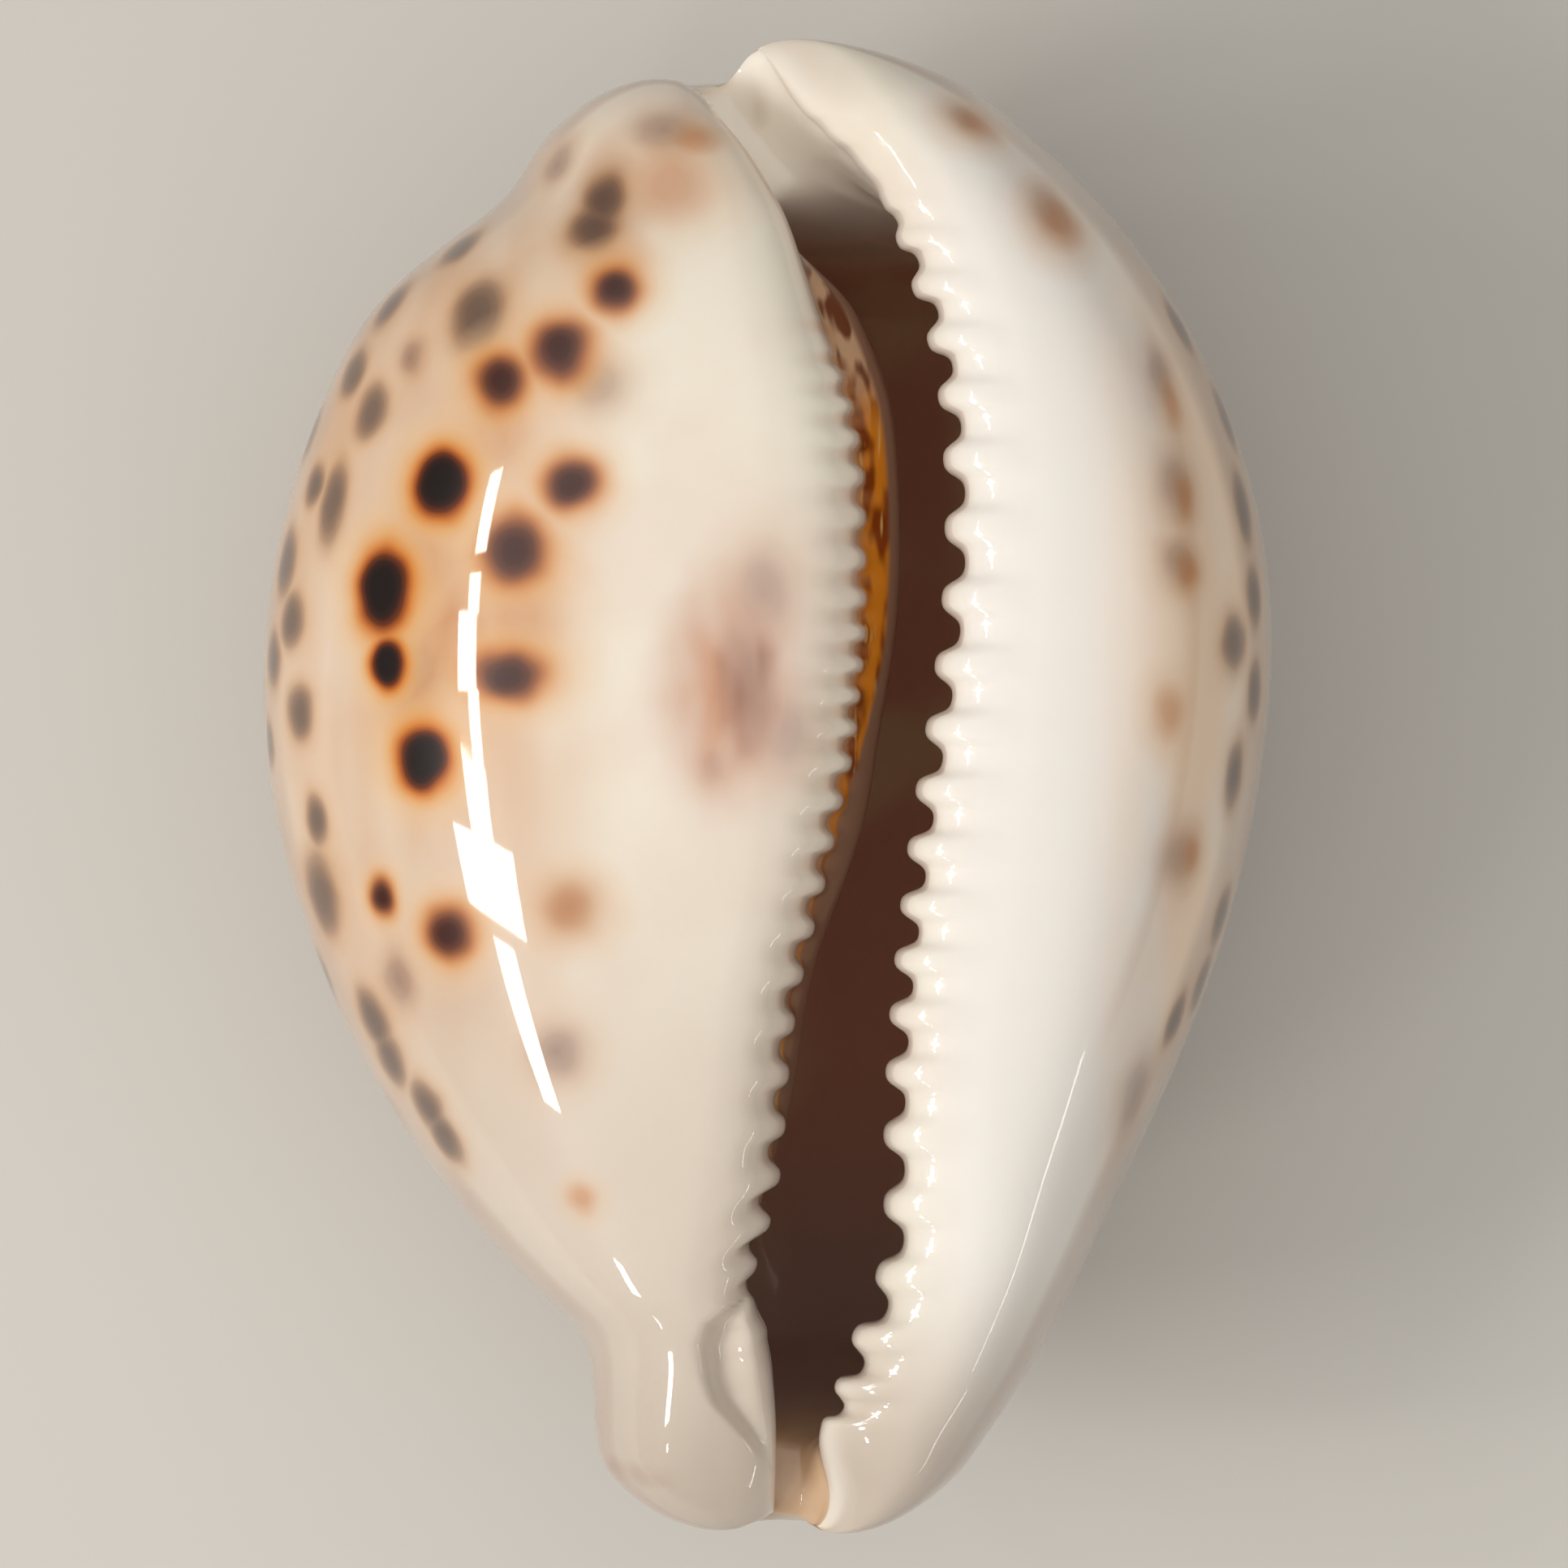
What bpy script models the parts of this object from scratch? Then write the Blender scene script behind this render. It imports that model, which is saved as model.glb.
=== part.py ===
"""A tiger cowrie shell lying on its back, with the toothed slit upwards.

The shell grew as one piece, so it is one solid: a thick sheet whose section is a C, open along
the slit. The section is carried from the front (anterior) end at -Y to the back (posterior)
end at +Y. At both ends the sheet's outside and inside meet in one line, so the canals stay open.
Units are metres. A station is (share of the run from the middle to its own end, value).
"""

import bmesh
import bpy
import numpy as np

MM = 0.001

# Driving dimensions
HALF_LENGTH = 41.7 * MM
HALF_WIDTH = 28.65 * MM
HEIGHT = 45.0 * MM
WALL = 2.0 * MM  # of the dorsum
MARGIN_WALL = 2.6 * MM  # of the thickened sides
WHORL_DROP = 26.0 * MM  # how far the inner whorl hangs, on a section as high as the shell
WHORL_BELOW_LIP = 5.0 * MM
CEILING_BELOW_BASE = 6.0 * MM  # the base's thickness left of the inner whorl
LIP_IN = 3.2 * MM  # the outer lip's rounded underside: how far it reaches from the edge, and down
LIP_DOWN = 2.8 * MM

# Fineness: a section is drawn by a few points, which are then rounded off
SECTION_POINTS = (4, 5, 4, 4, 5, 4)  # roll, base, flank, flank, base, roll
ROUNDINGS = 2
ROWS = 420
TIP_ANGLE = 0.44  # over which the sheet closes at each tip, of the quarter turn along the shell
ROW_CROWDING = 0.4  # how far rows move from the tips to the toothed middle
TRIANGLES = 9200

# How square the arcs of a section are: 2 is an ellipse
BASE_SQUARENESS = 2.15
FLANK_SQUARENESS = 2.1
CANAL_SQUARENESS = 2.4

# Lines along the shell, seen from above, in shares of HALF_WIDTH
LEFT = (
    (1.0, -0.377), (0.93, -0.433), (0.885, -0.475), (0.84, -0.524), (0.79, -0.600),
    (0.70, -0.740), (0.56, -0.873), (0.42, -0.946), (0.15, -1.0), (-0.035, -0.981),
    (-0.21, -0.911), (-0.385, -0.792), (-0.56, -0.621), (-0.69, -0.447), (-0.74, -0.380),
    (-0.80, -0.353), (-0.86, -0.349), (-0.93, -0.330), (-1.0, -0.250),
)
RIGHT = (
    (1.0, 0.100), (0.965, 0.345), (0.92, 0.440), (0.835, 0.585), (0.70, 0.754), (0.53, 0.890),
    (0.355, 0.974), (0.18, 1.0), (0.01, 0.974), (-0.165, 0.921), (-0.34, 0.831),
    (-0.51, 0.716), (-0.69, 0.593), (-0.82, 0.485), (-0.90, 0.412), (-0.95, 0.370), (-1.0, 0.300),
)
OUTER_LIP = (
    (1.0, -0.030), (0.95, 0.040), (0.90, 0.084), (0.86, 0.141), (0.82, 0.190), (0.76, 0.241),
    (0.70, 0.278), (0.56, 0.338), (0.395, 0.360), (0.30, 0.360), (0.12, 0.335), (-0.04, 0.300),
    (-0.20, 0.271), (-0.36, 0.250), (-0.52, 0.244), (-0.61, 0.241), (-0.67, 0.223),
    (-0.75, 0.178), (-0.82, 0.140), (-0.87, 0.108), (-0.93, 0.110), (-1.0, 0.090),
)
INNER_LIP = (
    (1.0, -0.105), (0.963, -0.080), (0.93, -0.042), (0.873, 0.008), (0.82, 0.046),
    (0.776, 0.066), (0.73, 0.084), (0.66, 0.110), (0.57, 0.150), (0.41, 0.180), (0.31, 0.181),
    (0.215, 0.180), (0.125, 0.168), (0.04, 0.154), (-0.033, 0.131), (-0.138, 0.099),
    (-0.25, 0.060), (-0.38, 0.031), (-0.53, 0.009), (-0.63, -0.024), (-0.69, -0.033),
    (-0.73, -0.012), (-0.83, 0.014), (-0.93, 0.012), (-1.0, 0.012),
)
INNER_WHORL = (
    (1.0, -0.119), (0.9, -0.042), (0.80, 0.063), (0.735, 0.136), (0.66, 0.192),
    (0.575, 0.234), (0.43, 0.257), (0.31, 0.258), (0.18, 0.241), (0.07, 0.215),
    (-0.036, 0.192), (-0.144, 0.145), (-0.21, 0.110), (-0.30, 0.070), (-0.40, 0.045),
    (-0.6, 0.010), (-0.8, 0.0), (-1.0, 0.0),
)
DORSUM_LINE = ((1.0, -0.12), (0.6, -0.03), (0.0, 0.0), (-0.6, 0.01), (-1.0, 0.0))

# Heights along the shell, in shares of HEIGHT. The dorsum dips below 0, where it is cut flat.
DORSUM = (
    (1.0, 0.60), (0.95, 0.43), (0.85, 0.275), (0.68, 0.131), (0.40, 0.026), (0.1, -0.0044),
    (-0.20, 0.010), (-0.45, 0.075), (-0.65, 0.165), (-0.80, 0.276), (-0.92, 0.43), (-1.0, 0.66),
)
LEFT_CREST = (
    (1.0, 0.80), (0.9, 0.895), (0.7, 0.965), (0.4, 0.998), (0.1, 1.0), (-0.3, 0.982),
    (-0.6, 0.942), (-0.8, 0.895), (-0.93, 0.845), (-1.0, 0.78),
)
RIGHT_CREST = (
    (1.0, 0.82), (0.9, 0.905), (0.7, 0.955), (0.4, 0.985), (0.1, 0.985), (-0.3, 0.968),
    (-0.6, 0.935), (-0.8, 0.895), (-0.93, 0.845), (-1.0, 0.78),
)
MARGIN = (
    (1.0, 0.70), (0.9, 0.66), (0.6, 0.62), (0.2, 0.60), (-0.2, 0.60), (-0.6, 0.635),
    (-0.9, 0.68), (-1.0, 0.70),
)
CANAL_FLOOR = (
    (1.0, 0.74), (0.9, 0.71), (0.6, 0.70), (-0.6, 0.70), (-0.85, 0.75), (-0.93, 0.785),
    (-1.0, 0.78),
)

# How far each lip's edge lies below the crest of its side, in millimetres
INNER_ROLL = (
    (1.0, 1.6), (0.9, 2.6), (0.6, 4.5), (0.0, 5.0), (-0.5, 4.6), (-0.9, 2.8), (-1.0, 2.0),
)
OUTER_ROLL = (
    (1.0, 1.6), (0.9, 2.4), (0.6, 4.0), (0.0, 4.3), (-0.5, 4.2), (-0.9, 2.8), (-1.0, 2.0),
)

# Places across a section, as shares of the way from one line to another
LEFT_CREST_PLACE = (
    (1.0, 0.45), (0.8, 0.24), (0.3, 0.2), (-0.4, 0.2), (-0.7, 0.34), (-0.9, 0.48), (-1.0, 0.5),
)
RIGHT_CREST_PLACE = 0.28
CANAL_PLACE = ((1.0, 0.1), (0.8, 0.3), (0.4, 0.5), (-0.6, 0.5), (-1.0, 0.5))

# The cavity grows out of each canal between these shares of the half length
CAVITY_BEHIND = (0.94, 0.71)
CAVITY_FRONT = (-0.94, -0.73)

# Ends of the sheet's lines, in metres from the middle: (posterior, anterior), at the joints
# between the arcs of a section, from the inner lip round the dorsum to the outer lip
LINE_ENDS = MM * np.array([
    (38.0, 41.0), (39.0, 41.7), (39.2, 41.5), (38.7, 41.4), (41.5, 41.9), (41.5, 41.8), (40.6, 40.8),
])

# Rows of teeth: (count from the posterior end, place along the shell in shares of HALF_LENGTH)
OUTER_TEETH = (
    (-2.0, 0.90), (-1.0, 0.862), (0.0, 0.820), (1.0, 0.775), (2.0, 0.726), (3.0, 0.662),
    (6.0, 0.432), (8.0, 0.247), (10.0, 0.074), (13.0, -0.161), (17.0, -0.468), (19.0, -0.655),
    (21.0, -0.808), (22.0, -0.86),
)
INNER_TEETH = (
    (-1.0, 0.630), (0.0, 0.585), (3.0, 0.460), (7.0, 0.247), (11.0, 0.074), (15.0, -0.134),
    (18.0, -0.319), (21.0, -0.523), (24.0, -0.698), (25.0, -0.75),
)
# Half heights of the teeth, in millimetres, along each lip
OUTER_TOOTH = (
    (1.0, 0.0), (0.92, 0.10), (0.85, 0.22), (0.74, 0.36), (0.6, 0.52), (0.3, 0.60),
    (-0.3, 0.60), (-0.70, 0.62), (-0.82, 0.5), (-0.9, 0.0), (-1.0, 0.0),
)
INNER_TOOTH = (
    (1.0, 0.0), (0.66, 0.0), (0.6, 0.14), (0.45, 0.24), (0.1, 0.28), (-0.2, 0.36),
    (-0.5, 0.42), (-0.62, 0.42), (-0.72, 0.0), (-0.86, 0.0), (-1.0, 0.0),
)
# Where a tooth rises and fades across its lip, in shares of the roll from the edge to the crest:
# (starts, full height, begins to fade, gone), from the outside of the lip to its inside
OUTER_TOOTH_ACROSS = (-1.2, -0.2, 0.1, 0.9)
INNER_TOOTH_ACROSS = (-1.1, -0.1, 0.1, 0.9)

# The fossula: a spoon-shaped hollow in the inner lip near the anterior end
FOSSULA = MM * np.array((-2.2, -32.6))
FOSSULA_REACH = MM * np.array((2.3, 4.6))
FOSSULA_DEPTH = 1.5 * MM
FOSSULA_ACROSS = (-4.0, -2.5, -0.6, 0.3)


def cubic(places, values):
    """The natural cubic through values at rising places, as a function of the place."""
    count, gap = len(places), np.diff(places)
    system, right = np.eye(count), np.zeros(count)
    for k in range(1, count - 1):
        system[k, k - 1 : k + 2] = gap[k - 1], 2 * (gap[k - 1] + gap[k]), gap[k]
        slopes = (values[k + 1] - values[k]) / gap[k], (values[k] - values[k - 1]) / gap[k - 1]
        right[k] = 6 * (slopes[0] - slopes[1])
    bend = np.linalg.solve(system, right)

    def at(place):
        k = np.clip(np.searchsorted(places, place) - 1, 0, count - 2)
        after, before = places[k + 1] - place, place - places[k]
        arc = (bend[k] * after**3 + bend[k + 1] * before**3) / (6 * gap[k])
        start = values[k] / gap[k] - bend[k] * gap[k] / 6
        end = values[k + 1] / gap[k] - bend[k + 1] * gap[k] / 6
        return arc + start * after + end * before

    return at


def line(stations, angle):
    """The value along the shell at angles whose sines are the shares, so that ends are round."""
    share, value = np.array(sorted(stations)).T
    return cubic(np.arcsin(share), value)(angle)


def ramp(start, end, value):
    """Rises smoothly from 0 at start to 1 at end, with no jump in its slope or bend."""
    t = np.clip((value - start) / (end - start), 0, 1)
    return t**3 * (t * (6 * t - 15) + 10)


def hump(stops, value):
    """Rises from the first stop to the second and falls from the third to the fourth."""
    return ramp(stops[0], stops[1], value) * ramp(stops[3], stops[2], value)


def mix(first, second, share):
    return first + (second - first) * share


def quarter(start, end, steps, upright_first, squareness=2.0):
    """A quarter of an ellipse, without its end. It leaves start and meets end at right angles."""
    angle = np.linspace(0, np.pi / 2, steps + 1)[:-1]
    reach = (np.cos(angle) ** squareness + np.sin(angle) ** squareness) ** (-1 / squareness)
    far, near = np.cos(angle) * reach, np.sin(angle) * reach
    (x0, z0), (x1, z1) = [[part[:, None] for part in point] for point in (start, end)]
    if upright_first:
        return np.stack([x1 + (x0 - x1) * far, z0 + (z1 - z0) * near], -1)
    return np.stack([x0 + (x1 - x0) * near, z1 + (z0 - z1) * far], -1)


def section(arcs, end):
    """The arcs in a row, with the last point of the last one. Columns are x and z."""
    return np.concatenate(arcs + [np.stack(end, -1)[:, None]], 1)


def section_outside(inner_lip, left_crest, left, dorsum, right, right_crest, outer_lip):
    """From the inner lip's edge over the base, round the dorsum and back to the outer lip."""
    roll_a, base_a, flank_a, flank_b, base_b, roll_b = SECTION_POINTS
    arcs = [
        quarter(inner_lip, left_crest, roll_a, True),
        quarter(left_crest, left, base_a, False, BASE_SQUARENESS),
        quarter(left, dorsum, flank_a, True, FLANK_SQUARENESS),
        quarter(dorsum, right, flank_b, False, FLANK_SQUARENESS),
        quarter(right, right_crest, base_b, True, BASE_SQUARENESS),
        quarter(right_crest, outer_lip, roll_b, False),
    ]
    return section(arcs, outer_lip)


def section_gutter(inner_lip, floor, outer_lip):
    """The inside where there is no cavity: a canal that dips between the lips."""
    half = sum(SECTION_POINTS) // 2
    arcs = [
        quarter(inner_lip, floor, half, True, CANAL_SQUARENESS),
        quarter(floor, outer_lip, half, False, CANAL_SQUARENESS),
    ]
    return section(arcs, outer_lip)


def section_cavity(inner_lip, whorl, ceiling, left, dorsum, right, under_lip, outer_lip):
    """The inside along the cavity: down the inner lip, round the inner whorl, and round the body."""
    flank_a, flank_b, base_b, roll_b = SECTION_POINTS[2:]
    span, drop = left[0] - whorl[0], WHORL_DROP * (whorl[1] - left[1]) / HEIGHT
    fold = [
        inner_lip,
        (mix(inner_lip[0], whorl[0], 0.3), mix(inner_lip[1], whorl[1], 0.33)),
        (mix(inner_lip[0], whorl[0], 0.75), mix(inner_lip[1], whorl[1], 0.66)),
        whorl,
        (whorl[0] + 0.08 * span, whorl[1] - 0.6 * drop),
        (whorl[0] + 0.26 * span, whorl[1] - drop),
        (whorl[0] + 0.46 * span, whorl[1] - 0.7 * drop),
        (whorl[0] + 0.66 * span, ceiling),
        (whorl[0] + 0.90 * span, mix(ceiling, left[1], 0.3)),
    ]
    arcs = [
        np.stack([np.stack(point, -1) for point in fold], 1),
        quarter(left, dorsum, flank_a, True, FLANK_SQUARENESS),
        quarter(dorsum, right, flank_b, False, FLANK_SQUARENESS),
        quarter(right, under_lip, base_b, True),
        quarter(under_lip, outer_lip, roll_b, False),
    ]
    return section(arcs, outer_lip)


def sheet_sections(angle):
    """The sections of the sheet's outside and inside, one pair for each angle along the shell."""
    left, right, outer, inner, whorl, dorsum_x = [
        HALF_WIDTH * line(stations, angle)
        for stations in (LEFT, RIGHT, OUTER_LIP, INNER_LIP, INNER_WHORL, DORSUM_LINE)
    ]
    dorsum, crest_a, crest_b, margin, canal = [
        HEIGHT * line(stations, angle)
        for stations in (DORSUM, LEFT_CREST, RIGHT_CREST, MARGIN, CANAL_FLOOR)
    ]
    inner_lip = (inner, crest_a - MM * line(INNER_ROLL, angle))
    outer_lip = (outer, crest_b - MM * line(OUTER_ROLL, angle))
    outside = section_outside(
        inner_lip,
        (mix(inner, left, line(LEFT_CREST_PLACE, angle)), crest_a),
        (left, margin),
        (dorsum_x, dorsum),
        (right, margin),
        (mix(outer, right, RIGHT_CREST_PLACE), crest_b),
        outer_lip,
    )
    floor = (mix(inner, outer, line(CANAL_PLACE, angle)), canal)
    cavity = section_cavity(
        inner_lip,
        (whorl, inner_lip[1] - WHORL_BELOW_LIP),
        crest_a - CEILING_BELOW_BASE,
        (left + MARGIN_WALL, margin),
        (dorsum_x, dorsum + WALL),
        (right - MARGIN_WALL, margin),
        (outer + LIP_IN, outer_lip[1] - LIP_DOWN),
        outer_lip,
    )
    share = np.sin(angle)
    hollow = ramp(*CAVITY_BEHIND, share) * ramp(*CAVITY_FRONT, share)
    inside = mix(section_gutter(inner_lip, floor, outer_lip), cavity, hollow[:, None, None])
    return outside, inside


def placed_along(sections, angle):
    """Gives the points of the sections their y, so that each line of the sheet has its own ends."""
    joints = np.cumsum((0,) + SECTION_POINTS)
    columns = np.arange(joints[-1] + 1)
    behind, front = [cubic(joints, LINE_ENDS[:, side])(columns) for side in (0, 1)]
    share = np.sin(angle)[:, None]
    return np.insert(sections, 1, np.where(share > 0, behind, front) * share, 2)


def eased(ring):
    """The control points of the closed rings, moved so that the rounded rings pass near them."""
    return ring - (np.roll(ring, 1, 1) - 2 * ring + np.roll(ring, -1, 1)) / 6


def rounded(ring):
    """One round of cubic subdivision of closed rings: a point in each gap, and the old ones eased."""
    before, after = np.roll(ring, 1, 1), np.roll(ring, -1, 1)
    pair = np.stack([(before + 6 * ring + after) / 8, (ring + after) / 2], 2)
    return pair.reshape(len(ring), -1, 3)


def rings(angle):
    """Closed rings of points, one for each angle from -pi/2 (anterior tip) to pi/2 (posterior tip).

    A ring runs from the inner lip's edge over the outside to the outer lip's edge, and back
    through the cavity. At the tips its outside and its inside meet in one line.
    """
    outside, inside = [placed_along(half, angle) for half in sheet_sections(angle)]
    middle = (outside + inside) / 2
    to_tip = np.clip((np.pi / 2 - abs(angle)) / TIP_ANGLE, 0, 1)
    thickness = np.sin(np.pi / 2 * to_tip)[:, None, None]
    outside, inside = [mix(middle, half, thickness) for half in (outside, inside)]
    ring = eased(np.concatenate([outside, inside[:, -2:0:-1]], 1))
    for _ in range(ROUNDINGS):
        ring = rounded(ring)
    return ring


def normals(ring):
    """Unit outward directions of the closed rings."""
    along = np.gradient(ring, axis=0)
    around = np.roll(ring, -1, 1) - np.roll(ring, 1, 1)
    out = np.cross(along, around)
    return out / np.maximum(np.linalg.norm(out, axis=2, keepdims=True), 1e-12)


def ridges(teeth, y):
    """A wave along the shell with one crest for each tooth."""
    count, share = np.array(teeth).T
    dense = np.linspace(count[0], count[-1], 400)
    where = HALF_LENGTH * cubic(count, share)(dense)
    return np.cos(2 * np.pi * np.interp(y, where[::-1], dense[::-1]))


def toothed(ring, angle):
    """Adds the teeth of both lips, as ridges that run over each lip's edge, and the fossula."""
    fine = 2**ROUNDINGS
    column = np.arange(ring.shape[1])
    inner_roll, outer_roll = fine * SECTION_POINTS[0], fine * SECTION_POINTS[-1]
    from_outer = (column - fine * sum(SECTION_POINTS)) / outer_roll
    wrapped = np.where(column > ring.shape[1] - 3 * inner_roll, column - ring.shape[1], column)
    from_inner = -wrapped / inner_roll
    outer = ridges(OUTER_TEETH, ring[..., 1]) * hump(OUTER_TOOTH_ACROSS, from_outer)
    inner = ridges(INNER_TEETH, ring[..., 1]) * hump(INNER_TOOTH_ACROSS, from_inner)
    off = (ring[..., :2] - FOSSULA) / FOSSULA_REACH
    spoon = np.clip(1 - (off**2).sum(-1), 0, 1) ** 2 * hump(FOSSULA_ACROSS, from_inner)
    height = outer * MM * line(OUTER_TOOTH, angle)[:, None]
    height += inner * MM * line(INNER_TOOTH, angle)[:, None]
    height -= spoon * FOSSULA_DEPTH
    return ring + normals(ring) * height[..., None]


def shell_rings():
    step = np.linspace(-1, 1, ROWS)
    angle = np.pi / 2 * step * (1 - ROW_CROWDING + ROW_CROWDING * step**2)
    return toothed(rings(angle), angle)


def tip_line(mesh, ring):
    """The points of a tip's ring, where each one of the outside also stands for its match inside."""
    half = len(ring) // 2
    there = [mesh.verts.new(point) for point in ring[: half + 1]]
    return there + there[-2:0:-1]


def body(points):
    """Joins the rings with faces and closes both tips, where outside and inside share one line."""
    mesh = bmesh.new()
    middle = [[mesh.verts.new(point) for point in ring] for ring in points[1:-1]]
    grid = [tip_line(mesh, points[0])] + middle + [tip_line(mesh, points[-1])]
    around = points.shape[1]
    for near, far in zip(grid, grid[1:]):
        for column in range(around):
            after = (column + 1) % around
            mesh.faces.new((near[column], far[column], far[after], near[after]))
    bmesh.ops.triangulate(mesh, faces=mesh.faces, quad_method="FIXED")
    return mesh


def thinned(mesh):
    """The mesh with fewer triangles: few where it is smooth and many in the teeth."""
    data = bpy.data.meshes.new("dense")
    mesh.to_mesh(data)
    mesh.free()
    dense = bpy.data.objects.new("dense", data)
    bpy.context.scene.collection.objects.link(dense)
    dense.modifiers.new("fewer faces", "DECIMATE").ratio = TRIANGLES / len(data.polygons)
    fewer = dense.evaluated_get(bpy.context.evaluated_depsgraph_get()).to_mesh()
    mesh = bmesh.new()
    mesh.from_mesh(fewer)
    bpy.data.objects.remove(dense)
    return mesh


def cut_flat(mesh):
    """Cuts the crown of the dorsum flat at z = 0, where the shell rests."""
    everything = mesh.verts[:] + mesh.edges[:] + mesh.faces[:]
    cut = bmesh.ops.bisect_plane(mesh, geom=everything, plane_no=(0, 0, -1), clear_outer=True)
    rim = [item for item in cut["geom_cut"] if isinstance(item, bmesh.types.BMEdge)]
    bmesh.ops.holes_fill(mesh, edges=rim)


def glaze():
    material = bpy.data.materials.new("glazed_shell")
    material.use_nodes = True
    shader = material.node_tree.nodes["Principled BSDF"]
    shader.inputs["Base Color"].default_value = (0.76, 0.62, 0.48, 1)
    shader.inputs["Roughness"].default_value = 0.15
    shader.inputs["Metallic"].default_value = 0.0
    return material


def clear_scene():
    for obj in list(bpy.data.objects):
        bpy.data.objects.remove(obj)


def main():
    clear_scene()
    mesh = thinned(body(shell_rings()))
    cut_flat(mesh)
    data = bpy.data.meshes.new("shell")
    mesh.to_mesh(data)
    mesh.free()
    data.materials.append(glaze())
    data.shade_smooth()
    shell = bpy.data.objects.new("shell", data)
    bpy.context.scene.collection.objects.link(shell)


if __name__ == "__main__":
    main()
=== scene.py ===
"""The looks of a tiger cowrie shell, lying on its back with the toothed slit upwards.

The shell is one surface: a thick sheet whose section is a C, open along the slit, carried from
the front (anterior) tip at -Y to the back (posterior) tip at +Y. Every section is worked out
at once, as arrays. Under it come the glaze, the spots and the light.
"""

import bpy
import numpy as np
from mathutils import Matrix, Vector


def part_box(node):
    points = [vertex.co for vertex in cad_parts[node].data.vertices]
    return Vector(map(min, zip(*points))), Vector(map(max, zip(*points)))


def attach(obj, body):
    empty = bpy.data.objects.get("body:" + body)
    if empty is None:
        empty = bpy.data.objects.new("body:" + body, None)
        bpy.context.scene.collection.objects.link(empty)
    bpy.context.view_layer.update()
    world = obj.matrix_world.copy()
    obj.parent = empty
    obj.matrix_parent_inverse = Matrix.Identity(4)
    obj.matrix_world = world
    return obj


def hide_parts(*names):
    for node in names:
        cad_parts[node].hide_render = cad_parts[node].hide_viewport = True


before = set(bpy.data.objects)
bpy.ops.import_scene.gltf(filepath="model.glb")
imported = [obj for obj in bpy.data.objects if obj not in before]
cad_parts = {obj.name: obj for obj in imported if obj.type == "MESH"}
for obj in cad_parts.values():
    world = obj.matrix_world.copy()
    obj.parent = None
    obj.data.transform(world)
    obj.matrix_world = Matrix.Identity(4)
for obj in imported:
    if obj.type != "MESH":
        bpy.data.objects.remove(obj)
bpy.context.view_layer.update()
LOW, HIGH = [np.array(corner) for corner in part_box("shell")]

LENGTH_MM = 84.06
MM = (HIGH[1] - LOW[1]) / LENGTH_MM  # one millimetre, as measured on the frame's shell
HALF_LENGTH = 41.7 * MM
HALF_WIDTH = 28.79 * MM
HEIGHT = 45.0 * MM
WALL = 2.0 * MM  # of the dorsum
MARGIN_WALL = 2.6 * MM  # of the thickened sides
WHORL_DROP = 26.0 * MM
WHORL_BELOW_LIP = 5.0 * MM
CEILING_BELOW_BASE = 6.0 * MM
LIP_IN = 3.2 * MM
LIP_DOWN = 2.8 * MM
UNDERCUT = 1.3 * MM  # of the canals' wall under the inner lip

# Fineness
SECTION_POINTS = (6, 4, 3, 3, 4, 6)  # roll, base, flank, flank, base, roll
ROUNDINGS = 2
ROWS = 479
TIP_ANGLE = 0.44
ROW_CROWDING = 0.4

INNER_LIP_SQUARENESS = 2.8
BASE_SQUARENESS = 2.15
FLANK_SQUARENESS = 2.1
CANAL_SQUARENESS = 2.4

# Lines along the shell as stations: (share of the run from the middle to an end, value)
LEFT = (
    (1.0, -0.40), (0.93, -0.446), (0.885, -0.480), (0.84, -0.530), (0.79, -0.618),
    (0.70, -0.764), (0.56, -0.878), (0.42, -0.946), (0.15, -0.999), (-0.035, -0.978),
    (-0.21, -0.907), (-0.385, -0.792), (-0.56, -0.621), (-0.69, -0.450), (-0.74, -0.377),
    (-0.80, -0.347), (-0.86, -0.341), (-0.93, -0.322), (-1.0, -0.245),
)
RIGHT = (
    (1.0, 0.160), (0.965, 0.345), (0.92, 0.440), (0.835, 0.585), (0.70, 0.754), (0.53, 0.890),
    (0.355, 0.970), (0.18, 0.992), (0.01, 0.970), (-0.165, 0.917), (-0.34, 0.829),
    (-0.51, 0.716), (-0.69, 0.591), (-0.82, 0.484), (-0.90, 0.404), (-0.95, 0.356), (-1.0, 0.288),
)
OUTER_LIP = (
    (1.0, -0.02), (0.95, 0.034), (0.90, 0.084), (0.86, 0.141), (0.82, 0.190), (0.76, 0.241),
    (0.70, 0.278), (0.56, 0.338), (0.395, 0.360), (0.30, 0.360), (0.12, 0.335), (-0.04, 0.300),
    (-0.20, 0.271), (-0.36, 0.250), (-0.52, 0.244), (-0.61, 0.241), (-0.67, 0.223),
    (-0.75, 0.178), (-0.82, 0.140), (-0.87, 0.108), (-0.93, 0.110), (-1.0, 0.10),
)
INNER_LIP = (
    (1.0, -0.105), (0.963, -0.080), (0.93, -0.042), (0.873, 0.008), (0.82, 0.046),
    (0.776, 0.066), (0.73, 0.084), (0.66, 0.110), (0.57, 0.150), (0.41, 0.180), (0.31, 0.181),
    (0.215, 0.180), (0.125, 0.168), (0.04, 0.154), (-0.033, 0.131), (-0.138, 0.099),
    (-0.25, 0.060), (-0.38, 0.031), (-0.53, 0.009), (-0.63, -0.024), (-0.69, -0.033),
    (-0.73, -0.012), (-0.83, 0.014), (-0.93, 0.012), (-1.0, 0.012),
)
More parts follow.
